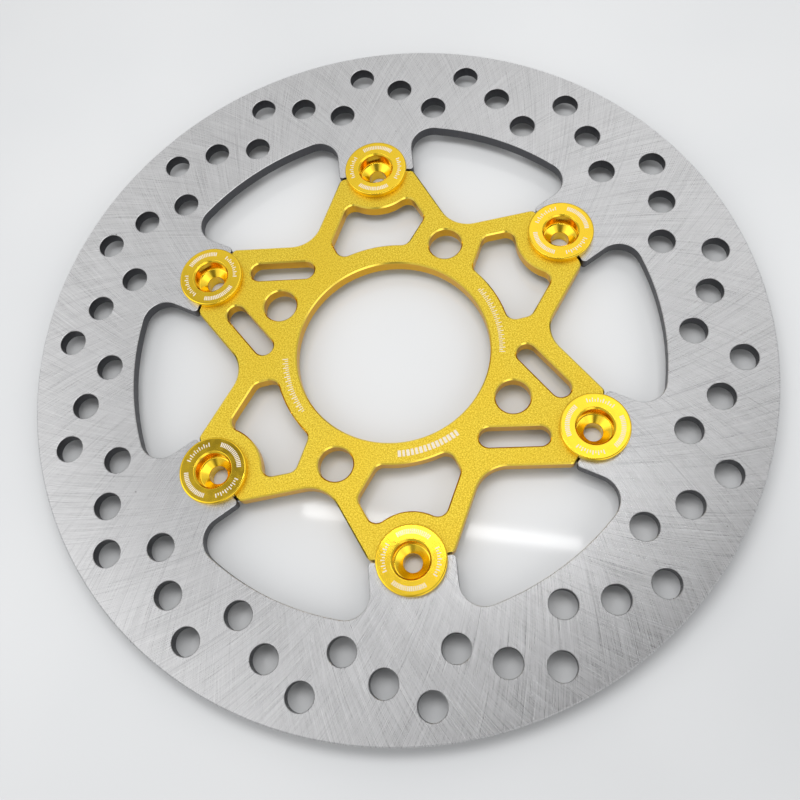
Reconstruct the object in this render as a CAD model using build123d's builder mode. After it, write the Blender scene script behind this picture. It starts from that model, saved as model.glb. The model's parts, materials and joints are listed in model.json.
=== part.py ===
from build123d import *
import os
from math import cos, hypot, radians, sin, tan

# Floating brake disc of a scooter or light motorcycle, in millimetres.
# A steel brake ring hangs on a six-armed aluminium carrier by six hollow buttons. Each button sits in two
# half-round seats, one in an arm and one in a tab of the ring, and is held from behind by a wave washer,
# a flat washer and a snap ring. The wave washers press ring and carrier against the button flanges.
#
# Frame: the origin is the centre of the carrier's rear mounting face. +Z points to the front, where the
# button flanges are. +X runs along one of the two slotted arms.

# Layout
ARM_COUNT = 6
ARM_STEP = 360 / ARM_COUNT
BUTTON_CIRCLE_R = 63.0
HUB_PAD_HEIGHT = 0.2
PLATE_THICKNESS = 4.0
PLATE_REAR_Z = HUB_PAD_HEIGHT
PLATE_FRONT_Z = PLATE_REAR_Z + PLATE_THICKNESS

# Gap between ring and carrier, on the circle of the buttons
FLOAT_GAP = 0.5
RING_BORE_R = BUTTON_CIRCLE_R + FLOAT_GAP / 2
CARRIER_R = BUTTON_CIRCLE_R - FLOAT_GAP / 2

# Button: a turned, hollow sleeve with a flange at the front
BARREL_R = 7.0
BARREL_REAR_Z = -3.8
RUNNING_CLEARANCE = 0.05
SEAT_R = BARREL_R + RUNNING_CLEARANCE
FLANGE_R = 9.9
FLANGE_HEIGHT = 2.0
FLANGE_TOP_Z = PLATE_FRONT_Z + FLANGE_HEIGHT
FLANGE_ROUND = 0.5
FLANGE_UNDERCUT = 0.2
BARREL_LEAD = 0.3
RECESS_MOUTH_R = 5.6
RECESS_R = 5.1
CONE_MOUTH_R = 4.8
THROUGH_R = 2.7
RECESS_LEAD_DEPTH = 0.5
RECESS_DEPTH = 4.4
CONE_DEPTH = 5.8

# Stack behind each button
WAVE_SPACE = 0.9
FLAT_WASHER_THICKNESS = 1.0
SNAP_RING_THICKNESS = 1.0
SNAP_GROOVE_WIDTH = 1.1
SNAP_GROOVE_R = 6.7
FLAT_WASHER_FRONT_Z = PLATE_REAR_Z - WAVE_SPACE
SNAP_RING_FRONT_Z = FLAT_WASHER_FRONT_Z - FLAT_WASHER_THICKNESS

# Brake ring
DISC_R = 110.0
DISC_RIM_CHAMFER = 0.4
RING_EDGE_CHAMFER = 0.15
OPENING_R = 79.5
OPENING_CORNER_R = 6.8
TAB_HALF_WIDTH = 12.1
TAB_CORNER_R = 1.2
HOLE_R = 4.0
HOLE_SPOKES = 18
HOLE_ROWS = ((100.6, 1.1), (94.5, -6.2), (87.4, -13.7))

# Carrier
ARM_FLARE = 25.0
ARM_HALF_WIDTH = 12.0
ARM_WIDTH_R = 61.3
ARM_CORNER_R = 1.8
VALLEY_R = 9.5
HUB_FILL_R = 42.0
HUB_BORE_R = 29.0
HUB_PAD_R = 46.0
BOLT_CIRCLE_R = 38.5
BOLT_HOLE_R = 5.1
BOLT_COUNT = 4
CARRIER_FRONT_CHAMFER = 0.4
CARRIER_REAR_CHAMFER = 0.1
WEB = 5.5

# Long slots, two in each slotted arm, and windows, one in each of the other four arms
SLOTTED_ARMS = (0, 180)
SLOT_ALONG = 43.5
SLOT_RUN = 14.3
SLOT_R = 3.0
WINDOW_ARMS = (60, 240)
MIRRORED_WINDOW_ARMS = (120, 300)
WINDOW_INNER_R = 35.5
WINDOW_BUTTON_LAND_R = 13.8
WINDOW_BOLT_LAND = 10.5
WINDOW_BOLT_EDGE_ANGLE = 35.5
WINDOW_END_ANGLE = 22.5
WINDOW_CORNER_R = 3.0

# Washers and snap rings
WASHER_BORE_R = 7.15
WASHER_R = 10.0
WASHER_CHAMFER = 0.15
WAVE_COUNT = 3
WAVE_THICKNESS = 0.4
WAVE_CREST_GAP = 0.02
WAVE_R = 9.7
WAVE_POINTS = 36
SNAP_RING_BORE_R = 6.72
SNAP_RING_R = 8.5
SNAP_RING_OFFSET = 0.3
SNAP_LUG_R = 1.75
SNAP_LUG_CIRCLE_R = 8.45
SNAP_LUG_ANGLE = 22.0
SNAP_LUG_HOLE_R = 0.85
SNAP_GAP = 2.6

SIZE_MATCH = 0.01


def at_radius(vertices, radius):
    """The vertices of a sketch that lie at one distance from its origin."""
    return [v for v in vertices if abs(hypot(v.X, v.Y) - radius) < SIZE_MATCH]


def arm_half_width(along):
    """Half the width of an arm, at a distance along its axis from the centre of the disc."""
    return ARM_HALF_WIDTH + (ARM_WIDTH_R - along) * tan(radians(ARM_FLARE))


def inside_web(along, web):
    """Distance from the arm's axis to a line that runs parallel to the arm's edge, one web inside it."""
    return arm_half_width(along) - web / cos(radians(ARM_FLARE))


def button_plane(angle):
    """Plane across a button's axis, with its x direction pointing away from the centre of the disc."""
    outwards = (cos(radians(angle)), sin(radians(angle)), 0)
    centre = (BUTTON_CIRCLE_R * outwards[0], BUTTON_CIRCLE_R * outwards[1], 0)
    return Plane(origin=centre, x_dir=outwards, z_dir=(0, 0, 1))


def make_brake_ring():
    """Friction ring with six openings, six tabs with half-round seats, and diagonal rows of holes."""
    with BuildPart() as brake_ring:
        with BuildSketch(Plane.XY.offset(PLATE_REAR_Z)) as outline:
            Circle(DISC_R)
            Circle(OPENING_R, mode=Mode.SUBTRACT)
            with PolarLocations((BUTTON_CIRCLE_R + OPENING_R) / 2, ARM_COUNT):
                Rectangle(OPENING_R - BUTTON_CIRCLE_R + TAB_HALF_WIDTH, 2 * TAB_HALF_WIDTH)
            fillet(at_radius(outline.vertices(), OPENING_R), OPENING_CORNER_R)
            Circle(RING_BORE_R, mode=Mode.SUBTRACT)
            fillet(at_radius(outline.vertices(), RING_BORE_R), TAB_CORNER_R)
            with PolarLocations(BUTTON_CIRCLE_R, ARM_COUNT):
                Circle(SEAT_R, mode=Mode.SUBTRACT)
        extrude(amount=PLATE_THICKNESS)
        round_edges = brake_ring.edges().filter_by(GeomType.CIRCLE)
        chamfer([e for e in round_edges if abs(e.radius - DISC_R) < SIZE_MATCH], DISC_RIM_CHAMFER)
        with BuildSketch(Plane.XY.offset(PLATE_REAR_Z)):
            for row_r, first_angle in HOLE_ROWS:
                with PolarLocations(row_r, HOLE_SPOKES, start_angle=first_angle):
                    Circle(HOLE_R)
        extrude(amount=PLATE_THICKNESS, mode=Mode.SUBTRACT)
        flat_faces = brake_ring.faces().filter_by(Plane.XY)
        fine_edges = [e for e in flat_faces.edges() if e.bounding_box().size.X < DISC_R]
        chamfer(fine_edges, RING_EDGE_CHAMFER)
    brake_ring.part.label = "brake_ring"
    export_step(brake_ring.part, "parts/brake_ring.step")


def arm_star():
    """Six arms, wider towards the hub, with rounded valleys between them."""
    inner = HUB_FILL_R * cos(radians(ARM_STEP / 2))
    outer = CARRIER_R + ARM_CORNER_R
    with BuildSketch(Plane.XY.offset(PLATE_REAR_Z)) as star:
        Circle(HUB_FILL_R)
        for k in range(ARM_COUNT):
            with BuildLine(Plane.XY.rotated((0, 0, k * ARM_STEP))):
                Polyline(
                    (inner, arm_half_width(inner)),
                    (inner, -arm_half_width(inner)),
                    (outer, -arm_half_width(outer)),
                    (outer, arm_half_width(outer)),
                    close=True,
                )
            make_face()
        valleys = [v for v in star.vertices() if HUB_FILL_R < hypot(v.X, v.Y) < CARRIER_R - VALLEY_R]
        fillet(valleys, VALLEY_R)
        Circle(CARRIER_R, mode=Mode.INTERSECT)
        fillet(at_radius(star.vertices(), CARRIER_R), ARM_CORNER_R)
        with PolarLocations(BUTTON_CIRCLE_R, ARM_COUNT):
            Circle(SEAT_R, mode=Mode.SUBTRACT)
    return star.sketch


def arm_window():
    """Opening of a windowed arm, drawn for an arm on +X that has its nearer bolt hole on the +Y side."""
    outer = BUTTON_CIRCLE_R
    inner = WINDOW_INNER_R - WINDOW_CORNER_R
    half_step = radians(ARM_STEP / 2)
    edge_angle = radians(WINDOW_BOLT_EDGE_ANGLE)
    bolt_edge_start = (
        BOLT_CIRCLE_R * cos(half_step) + WINDOW_BOLT_LAND * sin(edge_angle),
        BOLT_CIRCLE_R * sin(half_step) - WINDOW_BOLT_LAND * cos(edge_angle),
    )
    bolt_edge_slope = tan(edge_angle)
    end_slope = -tan(radians(WINDOW_END_ANGLE))
    side_slope = tan(radians(ARM_FLARE))
    side_at_centre = inside_web(0, WEB)
    shoulder = (side_at_centre - bolt_edge_start[1] + bolt_edge_slope * bolt_edge_start[0]) / (
        bolt_edge_slope + side_slope
    )
    toe = side_at_centre / (side_slope - end_slope)
    toe_start = inner * cos(radians(WINDOW_END_ANGLE))
    with BuildSketch() as window:
        with BuildLine():
            Polyline(
                (toe_start, toe_start * end_slope),
                (toe, -inside_web(toe, WEB)),
                (outer, -inside_web(outer, WEB)),
                (outer, inside_web(outer, WEB)),
                (shoulder, inside_web(shoulder, WEB)),
                (inner, bolt_edge_start[1] + bolt_edge_slope * (inner - bolt_edge_start[0])),
                close=True,
            )
        make_face()
        Circle(WINDOW_INNER_R, mode=Mode.SUBTRACT)
        with Locations((BUTTON_CIRCLE_R, 0)):
            Circle(WINDOW_BUTTON_LAND_R, mode=Mode.SUBTRACT)
        fillet(window.vertices(), WINDOW_CORNER_R)
    return window.sketch


def carrier_cut_outs():
    """Hub bore, bolt holes, long slots and arm windows, as one sketch on the mounting face."""
    window = arm_window()
    with BuildSketch() as cut_outs:
        Circle(HUB_BORE_R)
        with PolarLocations(BOLT_CIRCLE_R, BOLT_COUNT):
            Circle(BOLT_HOLE_R)
        slot_side = inside_web(SLOT_ALONG, WEB + SLOT_R)
        for arm in SLOTTED_ARMS:
            for side in (1, -1):
                slot_place = Vector(SLOT_ALONG, side * slot_side).rotate(Axis.Z, arm)
                with Locations(slot_place):
                    SlotCenterToCenter(SLOT_RUN, 2 * SLOT_R, rotation=arm - side * ARM_FLARE)
        for arm in WINDOW_ARMS:
            add(window, rotation=arm)
        for arm in MIRRORED_WINDOW_ARMS:
            add(window.mirror(Plane.XZ), rotation=arm)
    return cut_outs.sketch


def make_carrier():
    """Six-armed plate with a raised hub pad on its rear face."""
    with BuildPart() as carrier:
        add(arm_star())
        extrude(amount=PLATE_THICKNESS)
        with BuildSketch():
            Circle(HUB_PAD_R)
        extrude(amount=PLATE_THICKNESS)
        add(carrier_cut_outs())
        extrude(amount=PLATE_FRONT_Z, mode=Mode.SUBTRACT)
        front_face = carrier.faces().filter_by(Plane.XY).sort_by(Axis.Z)[-1]
        chamfer(front_face.edges(), CARRIER_FRONT_CHAMFER)
        pad_face = carrier.faces().filter_by(Plane.XY).sort_by(Axis.Z)[0]
        chamfer(pad_face.edges(), CARRIER_REAR_CHAMFER)
    carrier.part.label = "carrier"
    export_step(carrier.part, "parts/carrier.step")


def make_button(seat, number):
    """Turned button: flange with a stepped, conical recess, a barrel with a snap ring groove, and a
    through hole."""
    groove_rear_z = SNAP_RING_FRONT_Z - SNAP_GROOVE_WIDTH
    upright = Plane(origin=seat.origin, x_dir=seat.x_dir, z_dir=-seat.y_dir)
    flange_rim = (FLANGE_R - FLANGE_ROUND, FLANGE_TOP_Z)
    with BuildPart() as button:
        with BuildSketch(upright):
            with BuildLine():
                flange_side = Polyline(
                    (BARREL_R, SNAP_RING_FRONT_Z),
                    (BARREL_R, PLATE_FRONT_Z),
                    (FLANGE_R - FLANGE_UNDERCUT, PLATE_FRONT_Z),
                    (FLANGE_R, PLATE_FRONT_Z + FLANGE_UNDERCUT),
                    (FLANGE_R, FLANGE_TOP_Z - FLANGE_ROUND),
                )
                flange_round = RadiusArc(flange_side @ 1, flange_rim, -FLANGE_ROUND)
                Polyline(
                    flange_round @ 1,
                    (RECESS_MOUTH_R, FLANGE_TOP_Z),
                    (RECESS_R, FLANGE_TOP_Z - RECESS_LEAD_DEPTH),
                    (RECESS_R, FLANGE_TOP_Z - RECESS_DEPTH),
                    (CONE_MOUTH_R, FLANGE_TOP_Z - RECESS_DEPTH),
                    (THROUGH_R, FLANGE_TOP_Z - CONE_DEPTH),
                    (THROUGH_R, BARREL_REAR_Z),
                    (BARREL_R - BARREL_LEAD, BARREL_REAR_Z),
                    (BARREL_R, BARREL_REAR_Z + BARREL_LEAD),
                    (BARREL_R, groove_rear_z),
                    (SNAP_GROOVE_R, groove_rear_z),
                    (SNAP_GROOVE_R, SNAP_RING_FRONT_Z),
                    flange_side @ 0,
                )
            make_face()
        revolve(axis=Axis(seat.origin, seat.z_dir))
    button.part.label = f"button_{number}"
    export_step(button.part, f"parts/button_{number}.step")


def make_wave_washer(seat, number):
    """Spring washer of even thickness with three waves, its crests just clear of ring and flat washer."""
    swing = (WAVE_SPACE - WAVE_THICKNESS) / 2 - WAVE_CREST_GAP
    middle_z = FLAT_WASHER_FRONT_Z + WAVE_SPACE / 2

    def wavy_rim(radius, height):
        points = []
        for k in range(WAVE_POINTS):
            turn = radians(360 * k / WAVE_POINTS)
            wave_z = height + swing * cos(WAVE_COUNT * turn)
            points.append(seat.from_local_coords((radius * cos(turn), radius * sin(turn), wave_z)))
        return Edge.make_spline(points, periodic=True)

    front_z = middle_z + WAVE_THICKNESS / 2
    rear_z = middle_z - WAVE_THICKNESS / 2
    front_rims = [wavy_rim(WAVE_R, front_z), wavy_rim(WASHER_BORE_R, front_z)]
    rims = front_rims + [wavy_rim(WASHER_BORE_R, rear_z), wavy_rim(WAVE_R, rear_z)]
    walls = [Face.make_surface_from_curves(rims[k - 1], rims[k]) for k in range(len(rims))]
    with BuildPart() as wave_washer:
        add(Solid(Shell(walls)))
    wave_washer.part.label = f"wave_washer_{number}"
    export_step(wave_washer.part, f"parts/wave_washer_{number}.step")


def make_flat_washer(seat, number):
    """Plain washer between the wave washer and the snap ring."""
    with BuildPart() as flat_washer:
        with BuildSketch(seat.offset(SNAP_RING_FRONT_Z)):
            Circle(WASHER_R)
            Circle(WASHER_BORE_R, mode=Mode.SUBTRACT)
        extrude(amount=FLAT_WASHER_THICKNESS)
        chamfer(flat_washer.edges(), WASHER_CHAMFER)
    flat_washer.part.label = f"flat_washer_{number}"
    export_step(flat_washer.part, f"parts/flat_washer_{number}.step")


def make_snap_ring(seat, number):
    """Open retaining ring, thicker opposite its gap, with a plier hole in each lug."""
    with BuildPart() as snap_ring:
        with BuildSketch(seat.offset(SNAP_RING_FRONT_Z - SNAP_RING_THICKNESS)):
            with Locations((-SNAP_RING_OFFSET, 0)):
                Circle(SNAP_RING_R)
            with PolarLocations(SNAP_LUG_CIRCLE_R, 2, -SNAP_LUG_ANGLE, 2 * SNAP_LUG_ANGLE, endpoint=True):
                Circle(SNAP_LUG_R)
            Circle(SNAP_RING_BORE_R, mode=Mode.SUBTRACT)
            with Locations((SNAP_LUG_CIRCLE_R, 0)):
                Rectangle(2 * SNAP_LUG_CIRCLE_R, SNAP_GAP, mode=Mode.SUBTRACT)
            with PolarLocations(SNAP_LUG_CIRCLE_R, 2, -SNAP_LUG_ANGLE, 2 * SNAP_LUG_ANGLE, endpoint=True):
                Circle(SNAP_LUG_HOLE_R, mode=Mode.SUBTRACT)
        extrude(amount=SNAP_RING_THICKNESS)
    snap_ring.part.label = f"snap_ring_{number}"
    export_step(snap_ring.part, f"parts/snap_ring_{number}.step")


os.makedirs("parts", exist_ok=True)
make_brake_ring()
make_carrier()
for arm in range(ARM_COUNT):
    button_seat = button_plane(arm * ARM_STEP)
    make_button(button_seat, arm + 1)
    make_wave_washer(button_seat, arm + 1)
    make_flat_washer(button_seat, arm + 1)
    make_snap_ring(button_seat, arm + 1)
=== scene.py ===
import json
import math
import random
import bpy
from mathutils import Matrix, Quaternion, Vector


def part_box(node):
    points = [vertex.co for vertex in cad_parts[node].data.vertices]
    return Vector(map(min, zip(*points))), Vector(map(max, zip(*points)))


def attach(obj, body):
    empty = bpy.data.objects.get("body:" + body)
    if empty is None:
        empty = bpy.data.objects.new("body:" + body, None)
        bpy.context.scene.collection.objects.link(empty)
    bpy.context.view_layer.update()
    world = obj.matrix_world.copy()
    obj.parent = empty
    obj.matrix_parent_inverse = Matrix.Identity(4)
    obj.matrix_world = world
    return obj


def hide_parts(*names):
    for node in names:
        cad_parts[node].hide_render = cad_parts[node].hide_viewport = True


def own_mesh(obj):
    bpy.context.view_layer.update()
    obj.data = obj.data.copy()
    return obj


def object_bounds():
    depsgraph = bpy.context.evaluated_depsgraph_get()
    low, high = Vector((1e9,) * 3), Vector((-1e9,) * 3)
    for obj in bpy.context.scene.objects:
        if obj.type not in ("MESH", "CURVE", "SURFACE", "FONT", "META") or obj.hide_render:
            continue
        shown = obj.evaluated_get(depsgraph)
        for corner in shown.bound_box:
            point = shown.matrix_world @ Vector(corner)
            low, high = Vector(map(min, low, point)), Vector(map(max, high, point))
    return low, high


# Looks of the floating brake disc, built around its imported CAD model. Lengths are in metres, in the CAD's
# frame: +Z is the front, with the button flanges, and +X runs along one of the two slotted arms.

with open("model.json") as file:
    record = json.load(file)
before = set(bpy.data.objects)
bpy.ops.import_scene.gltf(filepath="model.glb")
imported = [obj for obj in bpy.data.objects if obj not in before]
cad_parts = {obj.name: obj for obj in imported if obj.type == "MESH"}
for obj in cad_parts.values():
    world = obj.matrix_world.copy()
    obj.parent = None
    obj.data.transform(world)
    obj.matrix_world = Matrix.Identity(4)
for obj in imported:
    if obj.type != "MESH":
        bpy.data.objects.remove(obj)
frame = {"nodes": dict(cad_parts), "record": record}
cad_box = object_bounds()

MM = 0.001
BUTTONS = range(1, 7)
RANDOM = random.Random(7)

# An eased corner also gets a point this many times the ease back from it, so that the flat beside it
# shades flat.
FLAT_EDGE = 1.15

# Degrees that each button's marks are turned by, and how far its face lies under its CAD box's top, in
# millimetres, so that the raised marks stay inside the box.
BUTTON_TURNS = (10, 62, 110, 140, 65, 110)
MARK_ROOM = 0.02

# The button, in millimetres: radii, and heights above the mounting face.
FLANGE_R = 9.9
FLANGE_REAR_Z = 4.2
FLANGE_STEP = 0.2
RECESS_MOUTH_R = 5.62
RECESS_R = 5.1
RECESS_FLOOR_Z = 1.8
CONE_MOUTH_R = 4.8
CONE_FLOOR_Z = 0.4
THROUGH_R = 2.7
BARREL_R = 7.0
BARREL_END_Z = -3.8
GROOVE_R = 6.7
GROOVE_REAR_Z = -2.8
GROOVE_FRONT_Z = -1.7

# The wave spring, in millimetres. Its foot stands on the flat washer, which doesn't move when the ring is
# pushed back.
SPRING_INNER_R = 7.17
SPRING_OUTER_R = 9.68
SPRING_MIDDLE_Z = -0.25
SPRING_SWING = 0.22
SPRING_HALF_THICKNESS = 0.2
SPRING_WAVES = 3
SPRING_EASE = 0.08

# The table lies this many millimetres below the barrels' ends, so that no two faces coincide.
FLOOR_GAP = 0.02

# Soft patches added to the surround, or taken from it where the amount is below 0: tilt from straight up,
# azimuth and width in degrees, and amount. They are set to shade the steel for this camera.
WORLD_LOBES = (
    (6, -58, 8, -0.5),
    (15, 27, 10, -0.8),
    (22, 42, 8.5, -0.65),
    (12, 84, 9, 0.4),
    (11, 172, 11, -0.2),
    (24, 165, 6, -0.25),
    (29, 164, 9, -0.5),
    (24, -168, 10, 0.3),
    (34, -178, 9, 0.3),
    (27, 74, 9, 0.4),
    (43, 126, 8, -0.4),
    (37, 114, 8, 0.25),
    (36, 90, 8, -0.2),
    (36, -66, 12, -0.75),
    (57, -70, 10, -0.35),
    (64, -42, 15, 0.8),
    (50, 6, 17, 0.8),
    (46, -142, 17, 0.8),
)


def button_axis(number):
    """Point on a button's axis, on the mounting face."""
    low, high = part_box(f"button_{number}")
    return Vector(((low.x + high.x) / 2, (low.y + high.y) / 2, 0))


# ---------------------------------------------------------------- finishes


class Nodes:
    """A node tree, with short calls for the nodes that the materials and the surround share."""

    def __init__(self, tree):
        self.tree = tree
        self.coordinates = self.tree.nodes.new("ShaderNodeTexCoord")

    def feed(self, socket, value):
        """Sets a socket to a number or colour, or links it to another node's output."""
        if isinstance(value, bpy.types.NodeSocket):
            self.tree.links.new(value, socket)
        else:
            socket.default_value = value

    def add(self, kind, inputs, **settings):
        """A new node, with its settings and inputs."""
        node = self.tree.nodes.new(kind)
        for key, value in settings.items():
            setattr(node, key, value)
        for key, value in inputs.items():
            self.feed(node.inputs[key], value)
        return node

    def calc(self, operation, *values):
        """One step of arithmetic."""
        return self.add("ShaderNodeMath", dict(enumerate(values)), operation=operation).outputs[0]

    def span(self, value, low, high, to_low=0.0, to_high=1.0, smooth=True):
        """Maps a value from one range to another, held at both ends."""
        inputs = {"Value": value, "From Min": low, "From Max": high, "To Min": to_low, "To Max": to_high}
        kind = "SMOOTHSTEP" if smooth else "LINEAR"
        return self.add("ShaderNodeMapRange", inputs, interpolation_type=kind).outputs["Result"]

    def split(self, vector):
        """The three parts of a vector."""
        return self.add("ShaderNodeSeparateXYZ", {0: vector}).outputs

    def join(self, x, y, z):
        """A vector from its three parts."""
        return self.add("ShaderNodeCombineXYZ", {0: x, 1: y, 2: z}).outputs[0]

    def noise(self, vector, grain, detail=2.0, roughness=0.5):
        """Cloudy noise from 0 to 1 whose patches measure about grain, in the vector's own unit."""
        inputs = {"Vector": vector, "Scale": 1 / grain, "Detail": detail, "Roughness": roughness}
        return self.add("ShaderNodeTexNoise", inputs).outputs[0]

    def cells(self, vector, grain, output="Distance"):
        """Voronoi cells of about that size."""
        return self.add("ShaderNodeTexVoronoi", {"Vector": vector, "Scale": 1 / grain}).outputs[output]

    def blend(self, share, first, second):
        """Mixes two colours."""
        node = self.add("ShaderNodeMix", {}, data_type="RGBA")
        self.feed(node.inputs["Factor"], share)
        self.feed(node.inputs[6], first)
        self.feed(node.inputs[7], second)
        return node.outputs[2]

    def mix(self, share, first, second):
        """Mixes two numbers."""
        node = self.add("ShaderNodeMix", {}, data_type="FLOAT")
        self.feed(node.inputs["Factor"], share)
        self.feed(node.inputs[2], first)
        self.feed(node.inputs[3], second)
        return node.outputs[0]


class Finish(Nodes):
    """A material on a principled shader."""

    def __init__(self, name, metallic):
        self.material = bpy.data.materials.new(name)
        self.material.use_nodes = True
        super().__init__(self.material.node_tree)
        self.shader = self.tree.nodes["Principled BSDF"]
        self.shader.inputs["Metallic"].default_value = metallic

    def millimetres(self, scale=(1, 1, 1)):
        """Place on the piece in millimetres, stretched along each axis by scale."""
        factors = tuple(s / MM for s in scale)
        inputs = {0: self.coordinates.outputs["Object"], 1: factors}
        return self.add("ShaderNodeVectorMath", inputs, operation="MULTIPLY").outputs[0]

    def facing_up(self):
        """How much the surface faces the front or the rear: 1 on the flat faces, 0 on the walls."""
        return self.calc("ABSOLUTE", self.split(self.coordinates.outputs["Normal"])[2])

    def bump(self, height, depth):
        """Relief from a varying height, where a step of 1 stands depth metres high."""
        inputs = {"Height": height, "Distance": depth, "Strength": 1.0}
        return self.add("ShaderNodeBump", inputs).outputs[0]

    def finish(self, colour, roughness, normal):
        """Connects the surface's three varying values."""
        self.feed(self.shader.inputs["Base Color"], colour)
        self.feed(self.shader.inputs["Roughness"], roughness)
        self.feed(self.shader.inputs["Normal"], normal)
        return self.material


def grinding_lines(f, place, wheel_r, wheel_offset, line_width, length, side):
    """Lines left by a cup grinding wheel on a turning table: arcs that cross every radius at a slant.

    An arc's wheel centre lies at wheel_offset from the disc's axis, and side says which of the two wheel
    positions through a point is meant."""
    x, y = f.split(place)[:2]
    radius = f.calc("SQRT", f.calc("ADD", f.calc("MULTIPLY", x, x), f.calc("MULTIPLY", y, y)))
    square = f.calc("MULTIPLY", radius, radius)
    over = f.calc("ADD", square, wheel_offset**2 - wheel_r**2)
    under = f.calc("MULTIPLY", radius, 2 * wheel_offset)
    reach = f.calc("ARCCOSINE", f.calc("DIVIDE", over, under))
    turn = f.calc("ADD", f.calc("ARCTAN2", y, x), f.calc("MULTIPLY", reach, float(side)))
    across = wheel_offset / line_width
    lines_x = f.calc("MULTIPLY", f.calc("COSINE", turn), across)
    lines_y = f.calc("MULTIPLY", f.calc("SINE", turn), across)
    return f.join(lines_x, lines_y, f.calc("DIVIDE", radius, length))


def ground_steel():
    """Stainless brake ring: cross-ground faces; the machined walls are painted near black, as painted shade.
    """
    f = Finish("ground_steel", metallic=1.0)
    place = f.millimetres()
    wheel = {"wheel_r": 200.0, "wheel_offset": 176.5}
    one = grinding_lines(f, place, **wheel, line_width=0.34, length=12.0, side=1)
    other = grinding_lines(f, place, **wheel, line_width=0.34, length=12.0, side=-1)
    first = f.noise(one, 1.0, detail=3.0, roughness=0.65)
    second = f.noise(other, 1.0, detail=3.0, roughness=0.65)
    patches = f.span(f.noise(place, 26.0, detail=1.0), 0.35, 0.65)
    lines = f.mix(f.span(patches, 0.0, 1.0, 0.3, 0.7), first, second)
    deep_one = f.span(f.noise(one, 2.2, detail=1.0), 0.58, 0.72)
    deep_other = f.span(f.noise(other, 2.2, detail=1.0), 0.58, 0.72)
    deep = f.calc("MAXIMUM", deep_one, deep_other)
    cloud = f.noise(place, 14.0, detail=3.0)
    speck = f.span(f.cells(place, 11.0), 0.016, 0.024, 1.0, 0.0)

    light = f.span(lines, 0.34, 0.66, smooth=False)
    tone = f.blend(light, (0.44, 0.44, 0.445, 1), (0.73, 0.73, 0.735, 1))
    tone = f.blend(f.calc("MULTIPLY", deep, 0.30), tone, (0.30, 0.30, 0.31, 1))
    tone = f.blend(f.span(cloud, 0.3, 0.7, 0.0, 0.16), tone, (0.70, 0.70, 0.71, 1))
    tone = f.blend(f.calc("MULTIPLY", speck, 0.7), tone, (0.05, 0.045, 0.04, 1))

    facing = f.facing_up()
    wall = f.span(facing, 0.25, 0.45, 1.0, 0.0)
    streaks = f.noise(f.millimetres((1, 1, 0.04)), 0.22, detail=2.0)
    # Painted shade: the walls' colour is set near black, far darker than the ground faces; the streaks only
    # vary it.
    wall_painted_shade = f.blend(streaks, (0.045, 0.047, 0.052, 1), (0.13, 0.13, 0.14, 1))
    colour = f.blend(wall, tone, wall_painted_shade)

    face_rough = f.span(lines, 0.3, 0.7, 0.22, 0.38, smooth=False)
    roughness = f.mix(wall, face_rough, f.span(streaks, 0.3, 0.7, 0.38, 0.58))
    height = f.calc("ADD", lines, f.calc("MULTIPLY", cloud, 0.3))
    height = f.calc("SUBTRACT", height, f.calc("MULTIPLY", deep, 0.5))
    height = f.mix(wall, height, f.calc("MULTIPLY", streaks, 3.0))
    round_axis = f.add("ShaderNodeTangent", {}, direction_type="RADIAL", axis="Z").outputs[0]
    f.feed(f.shader.inputs["Tangent"], round_axis)
    f.shader.inputs["Anisotropic"].default_value = 0.65
    return f.finish(colour, roughness, f.bump(height, 30e-6))


def blasted_gold():
    """Gold anodised carrier: bead-blasted faces; smooth machined chamfers, made lighter in colour as a
    painted highlight; walls with milling lines, made darker and browner as painted shade.
    """
    f = Finish("blasted_gold", metallic=1.0)
    place = f.millimetres()
    grain = f.noise(place, 0.38, detail=3.0, roughness=0.6)
    coarse = f.noise(place, 0.9, detail=2.0)
    cloud = f.noise(place, 18.0, detail=2.0)

    facing = f.facing_up()
    wall = f.span(facing, 0.25, 0.45, 1.0, 0.0)
    flat = f.span(facing, 0.86, 0.96)
    blasted = f.blend(f.span(grain, 0.3, 0.7), (0.62, 0.39, 0.018, 1), (1.0, 0.80, 0.10, 1))
    blasted = f.blend(f.span(cloud, 0.3, 0.7, 0.0, 0.25), blasted, (0.86, 0.57, 0.035, 1))
    milling = f.noise(f.millimetres((0.12, 0.12, 1)), 0.12, detail=2.0)
    # Painted shade: the walls' colour is made darker and browner than the faces'; the milling noise only
    # varies it.
    milled_painted_shade = f.blend(milling, (0.58, 0.28, 0.008, 1), (0.80, 0.47, 0.02, 1))
    # Painted highlight: the chamfers' colour is made lighter than the blasted faces'; their lower roughness
    # below is their real smoother machining.
    cut_and_painted_highlight = f.blend(coarse, (0.92, 0.66, 0.06, 1), (1.0, 0.79, 0.14, 1))
    colour = f.blend(flat, cut_and_painted_highlight, blasted)
    colour = f.blend(wall, colour, milled_painted_shade)

    blasted_rough = f.span(grain, 0.25, 0.75, 0.50, 0.36)
    roughness = f.mix(flat, 0.15, blasted_rough)
    roughness = f.mix(wall, roughness, f.span(milling, 0.3, 0.7, 0.28, 0.40))
    pits = f.calc("ADD", grain, f.calc("MULTIPLY", coarse, 0.6))
    height = f.mix(flat, f.calc("MULTIPLY", coarse, 0.1), pits)
    height = f.mix(wall, height, f.calc("MULTIPLY", milling, 0.4))
    return f.finish(colour, roughness, f.bump(height, 34e-6))


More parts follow.
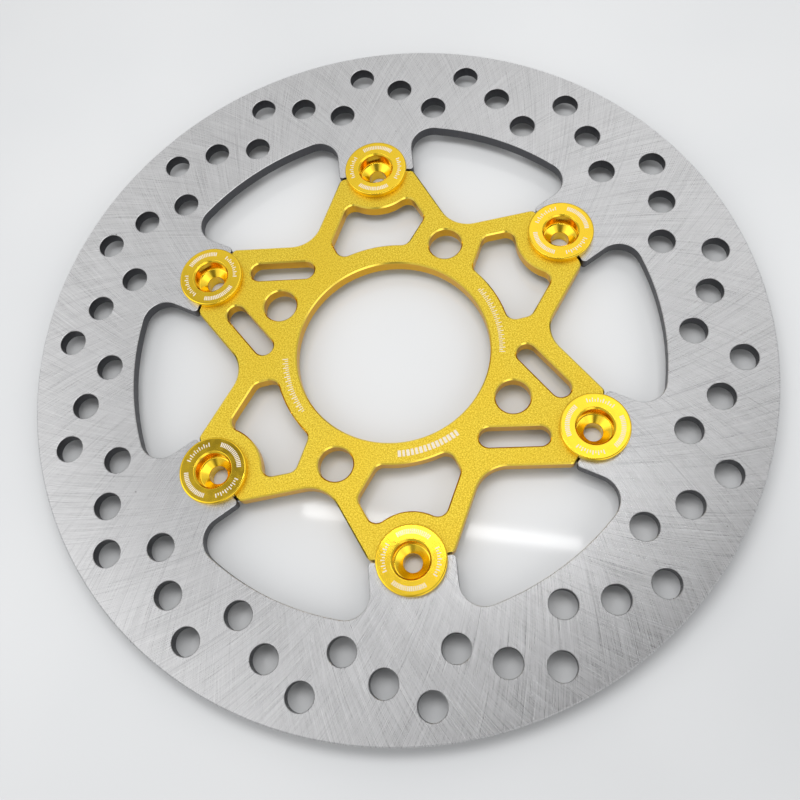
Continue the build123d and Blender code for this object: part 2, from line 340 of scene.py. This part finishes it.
def polished_gold():
    """Turned and polished buttons, gold anodised: fine rings round the axis and a few hairline scratches."""
    f = Finish("polished_gold", metallic=1.0)
    place = f.millimetres()
    x, y, z = f.split(place)
    radius = f.calc("SQRT", f.calc("ADD", f.calc("MULTIPLY", x, x), f.calc("MULTIPLY", y, y)))
    feed = f.join(f.calc("ADD", radius, f.calc("MULTIPLY", z, 0.7)), 0.0, 0.0)
    rings = f.noise(feed, 0.07, detail=2.0)
    cloud = f.noise(place, 2.2, detail=2.0)
    hair = f.noise(f.millimetres((0.25, 2.2, 1)), 0.12, detail=1.0)
    scratch = f.span(hair, 0.70, 0.78)
    colour = f.blend(f.span(rings, 0.3, 0.7), (0.86, 0.55, 0.028, 1), (0.96, 0.68, 0.055, 1))
    colour = f.blend(f.span(cloud, 0.3, 0.7, 0.0, 0.3), colour, (0.93, 0.62, 0.036, 1))
    roughness = f.calc("ADD", f.span(cloud, 0.3, 0.7, 0.11, 0.17), f.calc("MULTIPLY", scratch, 0.15))
    height = f.calc("ADD", f.calc("MULTIPLY", rings, 0.5), f.calc("MULTIPLY", cloud, 0.3))
    return f.finish(colour, roughness, f.bump(height, 3e-6))


def etched_mark():
    """Laser etched aluminium: the gold layer burnt away to a pale, dull grey."""
    f = Finish("etched_mark", metallic=0.35)
    place = f.millimetres()
    scan = f.noise(f.millimetres((1, 6, 1)), 0.25, detail=2.0)
    cloud = f.noise(place, 0.8, detail=2.0)
    colour = f.blend(scan, (0.60, 0.53, 0.43, 1), (0.78, 0.71, 0.61, 1))
    colour = f.blend(f.span(cloud, 0.35, 0.65, 0.0, 0.3), colour, (0.70, 0.59, 0.36, 1))
    return f.finish(colour, f.span(scan, 0.3, 0.7, 0.5, 0.7), f.bump(scan, 3e-6))


def spring_steel():
    """Phosphated spring steel: dark, crystalline, slightly worn."""
    f = Finish("spring_steel", metallic=1.0)
    place = f.millimetres()
    crystal = f.noise(place, 0.10, detail=3.0, roughness=0.7)
    wear = f.span(f.noise(place, 1.6, detail=3.0), 0.55, 0.75)
    colour = f.blend(crystal, (0.10, 0.10, 0.105, 1), (0.22, 0.22, 0.225, 1))
    colour = f.blend(f.calc("MULTIPLY", wear, 0.6), colour, (0.42, 0.42, 0.43, 1))
    roughness = f.mix(wear, f.span(crystal, 0.3, 0.7, 0.45, 0.6), 0.32)
    return f.finish(colour, roughness, f.bump(crystal, 6e-6))


def washer_steel():
    """Plain stainless washer: brushed across, with rolled sides."""
    f = Finish("washer_steel", metallic=1.0)
    place = f.millimetres()
    brushed = f.noise(f.millimetres((0.08, 2.0, 2.0)), 0.12, detail=2.0)
    cloud = f.noise(place, 3.0, detail=2.0)
    colour = f.blend(brushed, (0.48, 0.48, 0.49, 1), (0.68, 0.68, 0.68, 1))
    colour = f.blend(f.span(cloud, 0.3, 0.7, 0.0, 0.25), colour, (0.55, 0.54, 0.52, 1))
    return f.finish(colour, f.span(brushed, 0.3, 0.7, 0.26, 0.40), f.bump(brushed, 4e-6))


def table_top():
    """Pale glossy table under the disc."""
    f = Finish("table_top", metallic=0.0)
    place = f.millimetres()
    cloud = f.noise(place, 60.0, detail=2.0)
    fine = f.noise(place, 0.8, detail=2.0)
    colour = f.blend(cloud, (0.52, 0.53, 0.54, 1), (0.56, 0.565, 0.57, 1))
    return f.finish(colour, f.span(fine, 0.3, 0.7, 0.05, 0.08), f.bump(fine, 0.3e-6))


def paint(piece, material):
    """Puts one finish in every material slot of a piece."""
    if not piece.data.materials:
        piece.data.materials.append(material)
    for index in range(len(piece.data.materials)):
        piece.data.materials[index] = material


finishes = {
    "ground_steel": ground_steel(),
    "blasted_gold": blasted_gold(),
    "polished_gold": polished_gold(),
    "spring_steel": spring_steel(),
    "washer_steel": washer_steel(),
}
for subpart in frame["record"]["subparts"]:
    paint(frame["nodes"][subpart["node"]], finishes[subpart["material_slot"]])
etched = etched_mark()


# ---------------------------------------------------------------- pieces


def new_piece(name, vertices, faces, material, smooth_angle=math.radians(30)):
    """A mesh object, smooth except at its sharp edges."""
    mesh = bpy.data.meshes.new(name)
    mesh.from_pydata(vertices, [], faces)
    mesh.validate()
    mesh.materials.append(material)
    piece = bpy.data.objects.new(name, mesh)
    bpy.context.scene.collection.objects.link(piece)
    mesh.shade_smooth()
    mesh.set_sharp_from_angle(angle=smooth_angle)
    return piece


def revolved(profile, steps=144):
    """Vertices and faces of a closed profile of radius and height, in millimetres, turned round +Z."""
    vertices = []
    faces = []
    count = len(profile)
    for step in range(steps):
        turn = math.tau * step / steps
        for radius, height in profile:
            vertices.append((radius * math.cos(turn) * MM, radius * math.sin(turn) * MM, height * MM))
        this, following = step * count, (step + 1) % steps * count
        for k in range(count):
            after = (k + 1) % count
            faces.append((this + k, following + k, following + after, this + after))
    return vertices, faces


def rounded(corners, points=4):
    """A closed outline with eased corners, each given as x, y and how far back the ease begins."""
    outline = []
    for k, (x, y, ease) in enumerate(corners):
        corner = Vector((x, y))
        before = Vector(corners[k - 1][:2]) - corner
        after = Vector(corners[(k + 1) % len(corners)][:2]) - corner
        start = corner + before.normalized() * ease
        end = corner + after.normalized() * ease
        outline.append(tuple(corner + before.normalized() * ease * FLAT_EDGE))
        for j in range(points + 1):
            t = j / points
            outline.append(tuple(start * (1 - t) ** 2 + corner * 2 * t * (1 - t) + end * t**2))
        outline.append(tuple(corner + after.normalized() * ease * FLAT_EDGE))
    return outline


def turned_button(number, material):
    """A button with eased edges, in place of its CAD node."""
    face_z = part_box(f"button_{number}")[1].z / MM - MARK_ROOM
    corners = [
        (FLANGE_R - FLANGE_STEP, FLANGE_REAR_Z, 0.04),
        (FLANGE_R, FLANGE_REAR_Z + FLANGE_STEP, 0.05),
        (FLANGE_R, face_z, 0.5),
        (RECESS_MOUTH_R, face_z, 0.1),
        (RECESS_R + 0.02, face_z - 0.5, 0.08),
        (RECESS_R, RECESS_FLOOR_Z + 0.05, 0.12),
        (CONE_MOUTH_R, RECESS_FLOOR_Z, 0.1),
        (THROUGH_R, CONE_FLOOR_Z, 0.12),
        (THROUGH_R, BARREL_END_Z, 0.1),
        (BARREL_R - 0.3, BARREL_END_Z, 0.06),
        (BARREL_R, BARREL_END_Z + 0.3, 0.06),
        (BARREL_R, GROOVE_REAR_Z, 0.04),
        (GROOVE_R, GROOVE_REAR_Z, 0.06),
        (GROOVE_R, GROOVE_FRONT_Z, 0.06),
        (BARREL_R, GROOVE_FRONT_Z, 0.04),
        (BARREL_R, FLANGE_REAR_Z, 0.08),
    ]
    piece = new_piece(f"turned_button_{number}", *revolved(rounded(corners)[::-1]), material)
    piece.location = button_axis(number)
    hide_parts(f"button_{number}")
    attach(piece, f"button_{number}")


def wave_spring(number, material):
    """A washer with three waves, round a button's axis."""
    radii = (SPRING_OUTER_R, SPRING_INNER_R)
    low, high = -SPRING_HALF_THICKNESS, SPRING_HALF_THICKNESS
    section = [(radii[0], low), (radii[0], high), (radii[1], high), (radii[1], low)]
    vertices, faces = revolved(rounded([(x, y, SPRING_EASE) for x, y in section])[::-1])
    for k, (x, y, z) in enumerate(vertices):
        wave = SPRING_SWING * math.cos(SPRING_WAVES * math.atan2(y, x))
        vertices[k] = (x, y, z + (SPRING_MIDDLE_Z + wave) * MM)
    piece = new_piece(f"wave_spring_{number}", vertices, faces, material)
    piece.location = button_axis(number)
    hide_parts(f"wave_washer_{number}")
    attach(piece, f"button_{number}")
    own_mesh(piece)


class Marks:
    """Plain etched ticks, gathered into one mesh of closed blocks that stand a hair above a flat face."""

    def __init__(self, face_z):
        self.vertices = []
        self.faces = []
        self.low = face_z - 0.05
        self.high = face_z + 0.012

    def block(self, inner, outer, start, end, steps=2):
        """One tick or bar between two radii in millimetres and two angles in degrees."""
        first = len(self.vertices)
        section = [(inner, self.low), (outer, self.low), (outer, self.high), (inner, self.high)]
        for step in range(steps + 1):
            turn = math.radians(start + (end - start) * step / steps)
            for radius, height in section:
                corner = (radius * math.cos(turn), radius * math.sin(turn), height)
                self.vertices.append(tuple(MM * value for value in corner))
        for step in range(steps):
            this = first + 4 * step
            for k in range(4):
                after = (k + 1) % 4
                self.faces.append((this + k, this + 4 + k, this + 4 + after, this + after))
        last = first + 4 * steps
        self.faces.append((first, first + 1, first + 2, first + 3))
        self.faces.append((last + 3, last + 2, last + 1, last))

    def ticks(self, inner, outer, start, end, count, cover, shorter=0.0):
        """A row of ticks that cover a share of the arc. Every other one is shorter at its outer end."""
        pitch = (end - start) / count
        for k in range(count):
            middle = start + (k + 0.5) * pitch
            half = 0.5 * cover * pitch * RANDOM.uniform(0.85, 1.15)
            self.block(inner, outer - shorter * (k % 2), middle - half, middle + half)

    def piece(self, name, place, body, slot):
        """The finished mesh, riding on a body."""
        piece = new_piece(name, self.vertices, self.faces, etched)
        piece.location = place
        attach(piece, body)


def mark_button(number, turn):
    """Four arcs of ticks round a flange: two dense, two open, with the first dense one centred on turn."""
    marks = Marks(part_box(f"button_{number}")[1].z / MM - MARK_ROOM)
    for side in (0, 180):
        dense, open_row = turn + side, turn + side + 90
        marks.ticks(7.1, 8.4, dense - 36, dense + 36, count=18, cover=0.62)
        marks.ticks(7.15, 8.35, open_row - 31, open_row + 31, count=11, cover=0.42, shorter=0.45)
    marks.piece(f"flange_ticks_{number}", button_axis(number), f"button_{number}", "polished_gold")


def mark_carrier():
    """Three arcs of ticks beside the hub bore."""
    marks = Marks(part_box("carrier")[1].z / MM)
    marks.ticks(31.6, 33.3, 20.6, 60.6, count=34, cover=0.36, shorter=0.7)
    marks.ticks(31.5, 33.4, -62.4, -29.4, count=15, cover=0.66)
    marks.ticks(31.6, 33.3, 207.6, 240.6, count=26, cover=0.38, shorter=0.7)
    marks.piece("bore_ticks", (0, 0, 0), "carrier", "blasted_gold")


for button, button_turn in zip(BUTTONS, BUTTON_TURNS):
    turned_button(button, finishes["polished_gold"])
    wave_spring(button, finishes["spring_steel"])
    mark_button(button, button_turn)
mark_carrier()


# ---------------------------------------------------------------- stage, light and camera


def make_floor():
    """The table that the buttons' rear ends stand on."""
    floor_r = 3.0
    floor_z = cad_box[0].z - FLOOR_GAP * MM
    corners = [(-floor_r, -floor_r), (floor_r, -floor_r), (floor_r, floor_r), (-floor_r, floor_r)]
    floor = new_piece("table", [(x, y, floor_z) for x, y in corners], [(0, 1, 2, 3)], table_top())


def direction(tilt, azimuth):
    """Unit vector that leans tilt degrees away from straight up, towards azimuth."""
    lean, turn = math.radians(tilt), math.radians(azimuth)
    return Vector((math.sin(lean) * math.cos(turn), math.sin(lean) * math.sin(turn), math.cos(lean)))


def make_world():
    """Soft surround: bright overhead, dimmer lower down, with the soft shadows and glows of a room."""
    world = bpy.data.worlds.new("studio")
    bpy.context.scene.world = world
    world.use_nodes = True
    f = Nodes(world.node_tree)
    towards = f.coordinates.outputs["Generated"]
    height = f.split(towards)[2]
    ramp = f.add("ShaderNodeValToRGB", {"Fac": height})
    stops = ramp.color_ramp.elements
    stops[0].position, stops[0].color = 0.0, (0.52, 0.52, 0.53, 1)
    stops[1].position, stops[1].color = 1.0, (0.88, 0.88, 0.885, 1)
    for height_share, grey in ((0.25, 0.50), (0.50, 0.62), (0.66, 0.92), (0.74, 0.95)):
        stop = stops.new(height_share)
        stop.color = (grey, grey, grey, 1)
    glow = ramp.outputs[0]
    for tilt, azimuth, width, amount in WORLD_LOBES:
        inputs = {0: towards, 1: direction(tilt, azimuth)}
        nearness = f.add("ShaderNodeVectorMath", inputs, operation="DOT_PRODUCT").outputs["Value"]
        edge = math.cos(math.radians(1.6 * width))
        core = math.cos(math.radians(0.3 * width))
        lobe = f.span(nearness, edge, core, 0.0, amount)
        glow = f.add("ShaderNodeVectorMath", {0: glow, 1: lobe}, operation="ADD").outputs[0]
    background = world.node_tree.nodes["Background"]
    background.inputs["Strength"].default_value = 1.09
    f.feed(background.inputs["Color"], glow)


def make_light(name, place, aim, size, power, turn=0.0):
    """A rectangular soft light at a place, turned towards a point."""
    data = bpy.data.lights.new(name, "AREA")
    data.shape = "RECTANGLE"
    data.size, data.size_y = size
    data.energy = power
    light = bpy.data.objects.new(name, data)
    bpy.context.scene.collection.objects.link(light)
    light.location = place
    light.rotation_mode = "QUATERNION"
    aimed = (Vector(aim) - Vector(place)).to_track_quat("-Z", "Y")
    light.rotation_quaternion = aimed @ Quaternion((0, 0, 1), math.radians(turn))
    return light


def make_lights():
    """A lamp strip overhead, mirrored in the table, and a broad soft light round it."""
    make_light("strip", (-0.021, 0.0197, 0.38), (-0.021, 0.0197, 0), (0.207, 0.010), 0.05, turn=16.6)
    key = make_light("key", (-0.01, 0.03, 0.38), (-0.01, 0.03, 0), (0.30, 0.14), 0.95, turn=16.6)
    key.visible_glossy = False


def make_camera():
    """Camera above the disc, to the lower right of it, turned a little clockwise."""
    data = bpy.data.cameras.new("camera")
    camera = bpy.data.objects.new("camera", data)
    bpy.context.scene.collection.objects.link(camera)
    place = Vector((0.06727, -0.08011, 0.23546))
    target = Vector((0.00833, -0.01306, 0.002))
    roll = math.radians(-17.37)
    data.lens = 38.34
    data.clip_start = 0.01
    camera.location = place
    camera.rotation_mode = "QUATERNION"
    camera.rotation_quaternion = (target - place).to_track_quat("-Z", "Y") @ Quaternion((0, 0, 1), roll)
    bpy.context.scene.camera = camera


bpy.context.scene.view_settings.view_transform = "Standard"
make_floor()
make_world()
make_lights()
make_camera()
